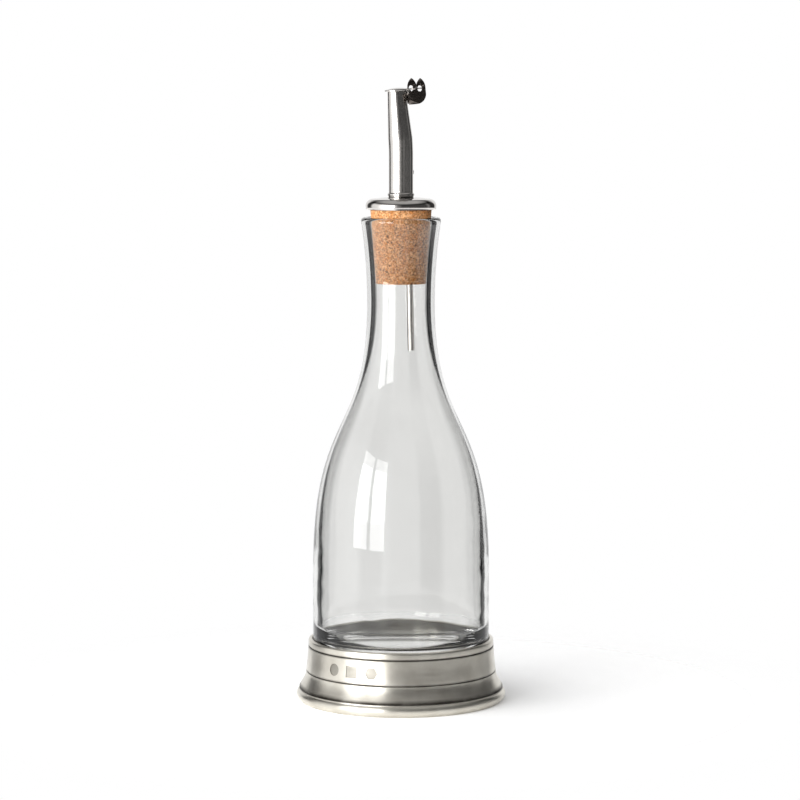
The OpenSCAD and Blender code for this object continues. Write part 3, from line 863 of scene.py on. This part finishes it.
class MakeCap(bpy.types.Operator):
    """Press the domed cap and roll the bead around the spout's foot"""

    bl_idname = "oil_bottle.make_cap"
    bl_label = "Cap and bead"

    def execute(self, context):
        s, look = context.scene.pourer_sizes, context.scene.finishes
        wide, low, top = radius("cap_disc"), height("cap_disc", 0), height("cap_disc", 1)
        edge_x, edge_z = wide - s.cap_edge, top - s.cap_drop - s.cap_edge
        dome = (edge_x ** 2 + s.cap_drop ** 2) / (2 * s.cap_drop)
        hole, flat = s.spout_radius - s.tube_wall, s.spout_radius + 0.6 * MM
        under = top - s.cap_drop - s.sheet
        crown = []
        for i in range(12, -1, -1):
            x = flat + (edge_x + 0.3 * MM - flat) * i / 12
            crown.append((x, top - dome + math.sqrt(dome ** 2 - x ** 2)))
        rows = (
            [(hole, under), (edge_x - s.sheet, under)]
            + arc(edge_x, edge_z, s.cap_edge - s.sheet, 84, 0, 12)
            + [(wide - s.sheet, low + 0.15 * MM), (wide - s.sheet + 0.15 * MM, low),
               (wide - 0.25 * MM, low), (wide - 0.06 * MM, low + 0.15 * MM)]
            + arc(edge_x, edge_z, s.cap_edge, -8, 84, 20) + crown + [(hole, top), (hole, under)]
        )
        cap = turned("cap_disc_piece", rows, polished_steel(look), segments=144, crease=50)
        hand_over(cap, "stopper", "polished_steel", "cap_disc")

        r, high = s.spout_radius, height("spout_bead", 1)
        rows = (
            [(r, top), (r + 0.25 * MM, top)]
            + arc(r - 0.3 * MM, top + 0.85 * MM, 0.8 * MM, -45, 70, 16) + [(r, high), (r, top)]
        )
        bead = turned("spout_bead_piece", rows, tube_steel(look), segments=96)
        hand_over(bead, "stopper", "tube_steel", "spout_bead")
        return {"FINISHED"}


def spout_path(s, base):
    """Centre line of the spout: straight, then a soft bend, then straight to the mouth."""
    points = [Vector((0, 0, base))]
    for i in range(17):
        t = s.lean * i / 16
        points.append(Vector((-s.bend_radius * (1 - math.cos(t)), 0,
                              base + s.foot_len + s.bend_radius * math.sin(t))))
    ahead = Vector((-math.sin(s.lean), 0, math.cos(s.lean)))
    points.append(points[-1] + ahead * (s.upper_len + 1 * MM))
    return points


class MakeSpout(bpy.types.Operator):
    """Draw the bent spout, the air tube inside it and the bush in its side"""

    bl_idname = "oil_bottle.make_spout"
    bl_label = "Spout and air tube"

    def execute(self, context):
        s, look = context.scene.pourer_sizes, context.scene.finishes
        metal = tube_steel(look)
        base = height("spout_tube", 0)
        path = spout_path(s, base)
        bent = s.foot_len + s.bend_radius * s.lean
        whole = bent + s.upper_len
        wall, eased = s.tube_wall, 0.12 * MM
        outer = filled([(s.spout_radius, 0), (s.spout_radius, bent)], 0.8 * MM)
        outer += filled([(s.spout_radius, bent), (s.mouth_radius, whole - eased)], 1 * MM)[1:]
        mouth = [(s.mouth_radius - eased, whole), (s.mouth_radius - wall + eased, whole)]
        inner = [(r - wall, z) for r, z in outer[::-1]]
        tube = turned("spout_tube_piece", outer + mouth + inner + [outer[0]], metal, path=path,
                      segments=96)
        hand_over(tube, "stopper", "tube_steel", "spout_tube")

        low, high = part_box("air_tube")
        r = s.vent_radius
        foot = Vector((high.x - r, 0, low.z))
        head = Vector((low.x + r, 0, high.z))
        span = (head - foot).length
        bore = r - s.tube_wall
        tube = turned("air_tube_piece", [
            (bore, 0), (r - 0.06 * MM, 0), (r, 0.06 * MM), (r, span - 0.4 * MM), (r - 0.4 * MM, span),
            (0, span), (0, span - 0.4 * MM), (bore, span - 0.4 * MM), (bore, 0),
        ], metal, path=[foot, head], segments=48)
        hand_over(tube, "stopper", "tube_steel", "air_tube")

        bush = pressed("air_nipple", metal, s.edge)
        hand_over(bush, "stopper", "tube_steel", "air_nipple")
        return {"FINISHED"}


class MakeHinge(bpy.types.Operator):
    """Solder the two lugs behind the mouth and put the pin through them"""

    bl_idname = "oil_bottle.make_hinge"
    bl_label = "Hinge lugs and pin"

    def execute(self, context):
        s, look = context.scene.pourer_sizes, context.scene.finishes
        for node in ("left_lug", "right_lug", "hinge_pin"):
            piece = pressed(node, polished_steel(look), s.edge)
            hand_over(piece, "stopper", "polished_steel", node)
        return {"FINISHED"}


class MakeFlap(bpy.types.Operator):
    """Press the domed lid with its rolled barrel, and fold the counterweight"""

    bl_idname = "oil_bottle.make_flap"
    bl_label = "Lid and counterweight"

    def execute(self, context):
        s, look = context.scene.pourer_sizes, context.scene.finishes
        lid = pressed("flap_lid", polished_steel(look), s.edge)
        hand_over(lid, "flap", "polished_steel", "flap_lid")
        # The counterweight's dark colour is a painted reflection, not the steel's own colour.
        weight = pressed("counterweight", dark_steel(look), s.edge)
        hand_over(weight, "flap", "dark_steel", "counterweight")
        return {"FINISHED"}


# ---------------------------------------------------------------- stage

VIEW_AZIMUTH = math.radians(-22)
VIEW_DISTANCE = 1.34
VIEW_HEIGHT = 0.266
AIM_HEIGHT = 0.1269
LENS = 144.4
SHIFT = -0.00125
TO_CAMERA = Vector((math.sin(VIEW_AZIMUTH), -math.cos(VIEW_AZIMUTH), 0))
TO_RIGHT = Vector((math.cos(VIEW_AZIMUTH), math.sin(VIEW_AZIMUTH), 0))


FLOOR_REACH, FLOOR_RINGS = 0.32, 12
# The two panes of the window: where each stands, in degrees to the right of the camera, how wide
# it is in degrees, how far off it is and how high it reaches.
PANES = (("left_pane", -55), ("right_pane", -31.5))
PANE_SPAN = 19
WINDOW_DISTANCE = 1.3
WINDOW_TOP = 0.71
# The middle of the soft light, to the right of the camera.
SOFT_LIGHT = math.radians(-60)
# What metal mirrors all round: (degrees to the right of the camera, brightness).
MIRRORED = (
    (-180, 1.0), (-146, 1.0), (-138, 0.06), (-118, 0.06), (-106, 1.1), (-82, 1.2),
    (-70, 1.7), (-28, 1.7), (-12, 0.3), (4, 0.07), (92, 0.07), (102, 0.25),
    (114, 0.04), (138, 0.05), (146, 0.9), (180, 1.0),
)
WARMTH = (1, 0.985, 0.96)


def studio_light():
    """A plain white studio, which is dark only where something dark should be mirrored.
    Glass is seen against pale screens with gaps between them, metal mirrors the window's side, a
    dark side, the floor and the ceiling, and all that is matte gets one soft light."""
    world = bpy.data.worlds.new("studio")
    bpy.context.scene.world = world
    world.use_nodes = True
    tree = world.node_tree
    tree.nodes.clear()
    ray = add(tree, "ShaderNodeLightPath").outputs
    way = add(tree, "ShaderNodeTexCoord").outputs["Generated"]
    rise = add(tree, "ShaderNodeSeparateXYZ", {0: way}).outputs[2]
    front = add(tree, "ShaderNodeVectorMath", {0: way, 1: TO_CAMERA}, operation="DOT_PRODUCT")
    right = add(tree, "ShaderNodeVectorMath", {0: way, 1: TO_RIGHT}, operation="DOT_PRODUCT")
    turn = math_node(tree, "ARCTAN2", right.outputs["Value"], front.outputs["Value"])

    four = math_node(tree, "COSINE", math_node(tree, "MULTIPLY", turn, 4))
    gap = spread(tree, four, -0.55, -0.2, 0, 1)
    high = spread(tree, rise, 0.45, 0.8, 0, 1)
    through = math_node(tree, "MAXIMUM", gap, high)

    share = math_node(tree, "ADD", math_node(tree, "DIVIDE", turn, 2 * math.pi), 0.5)
    ramp = add(tree, "ShaderNodeValToRGB", {0: share})
    band = ramp.color_ramp
    while len(band.elements) < len(MIRRORED):
        band.elements.new(0.5)
    for element, (angle, value) in zip(band.elements, MIRRORED):
        element.position = (angle + 180) / 360
        element.color = (*(value * part for part in WARMTH), 1)
    level = add(tree, "ShaderNodeRGBToBW", {0: ramp.outputs[0]}).outputs[0]
    below = spread(tree, rise, -0.22, -0.14, 1.3, 0)
    below = math_node(tree, "MULTIPLY", below, spread(tree, rise, -0.55, -0.4, 0.1, 1))
    above = spread(tree, rise, 0.35, 0.6, 1, 0.1)
    ceiling = spread(tree, rise, 0.6, 0.85, 0, 0.5)
    shine = math_node(tree, "MAXIMUM", math_node(tree, "MULTIPLY", level, above), below)
    shine = math_node(tree, "MAXIMUM", shine, ceiling)

    def choose(share, first, second):
        mixed = add(tree, "ShaderNodeMix", {0: share, 2: first, 3: second}, data_type="FLOAT")
        return mixed.outputs[0]

    light = choose(ray["Is Glossy Ray"], 0.85, shine)
    light = choose(ray["Is Transmission Ray"], light, through)
    sunny = math_node(tree, "COSINE", math_node(tree, "SUBTRACT", turn, SOFT_LIGHT))
    soft = spread(tree, sunny, -0.5, 0.95, 0.2, 2.3)
    matte = math_node(tree, "GREATER_THAN", ray["Diffuse Depth"], 0.5)
    light = choose(matte, light, soft)
    light = choose(ray["Is Camera Ray"], light, 1.0)
    shader = add(tree, "ShaderNodeBackground", {"Color": (1, 1, 1, 1), "Strength": light})
    add(tree, "ShaderNodeOutputWorld", {0: shader.outputs[0]})


def pane(name, angle, power):
    """One pane of the window light, angle in degrees to the right of the camera."""
    turn = math.radians(angle)
    way = TO_CAMERA * math.cos(turn) + TO_RIGHT * math.sin(turn)
    data = bpy.data.lights.new(name, "AREA")
    data.shape = "RECTANGLE"
    data.size = 2 * WINDOW_DISTANCE * math.tan(math.radians(PANE_SPAN) / 2)
    data.size_y = WINDOW_TOP
    data.energy = power
    lamp = linked(name, data)
    lamp.location = way * WINDOW_DISTANCE + UP * WINDOW_TOP / 2
    lamp.rotation_euler = (-way).to_track_quat("-Z", "Y").to_euler()


class MakeStage(bpy.types.Operator):
    """Set the floor, the studio light and the camera"""

    bl_idname = "oil_bottle.make_stage"
    bl_label = "Stage"

    def execute(self, context):
        look = context.scene.finishes
        rows = [(FLOOR_REACH * i / FLOOR_RINGS, 0) for i in range(FLOOR_RINGS + 1)]
        floor = turned("table_top", rows, matte_floor(look), segments=96)

        studio_light()
        for name, angle in PANES:
            pane(name, angle, look.key)

        data = bpy.data.cameras.new("camera")
        data.lens = LENS
        data.sensor_width = 36
        data.shift_x = SHIFT
        data.clip_start = 0.01
        camera = linked("camera", data)
        camera.location = TO_CAMERA * VIEW_DISTANCE + UP * VIEW_HEIGHT
        toward = Vector((0, 0, AIM_HEIGHT)) - camera.location
        camera.rotation_euler = toward.to_track_quat("-Z", "Y").to_euler()
        context.scene.camera = camera
        context.scene.view_settings.view_transform = "Standard"
        return {"FINISHED"}


# ---------------------------------------------------------------- add-on

GROUPS = (
    ("bottle_sizes", BottleSizes), ("foot_sizes", FootSizes),
    ("pourer_sizes", PourerSizes), ("finishes", Finishes),
)
STEPS = (MakeStage, MakeGlass, MakeFoot, MakeCork, MakeCap, MakeSpout, MakeHinge, MakeFlap)


class OilBottlePanel(bpy.types.Panel):
    """Lists the steps and the sizes"""

    bl_idname = "VIEW3D_PT_oil_bottle"
    bl_label = "Oil bottle"
    bl_space_type = "VIEW_3D"
    bl_region_type = "UI"
    bl_category = "Oil bottle"

    def draw(self, context):
        for step in STEPS:
            self.layout.operator(step.bl_idname)
        for name, kind in GROUPS:
            box = self.layout.box()
            box.label(text=kind.__doc__)
            for key in kind.__annotations__:
                box.prop(getattr(context.scene, name), key)


def register():
    for name, kind in GROUPS:
        bpy.utils.register_class(kind)
        setattr(bpy.types.Scene, name, bpy.props.PointerProperty(type=kind))
    for kind in (*STEPS, OilBottlePanel):
        bpy.utils.register_class(kind)


def unregister():
    for kind in (OilBottlePanel, *STEPS[::-1]):
        bpy.utils.unregister_class(kind)
    for name, kind in GROUPS[::-1]:
        delattr(bpy.types.Scene, name)
        bpy.utils.unregister_class(kind)


def main():
    register()
    for step in STEPS:
        group, name = step.bl_idname.split(".")
        getattr(getattr(bpy.ops, group), name)()


if __name__ == "__main__":
    main()
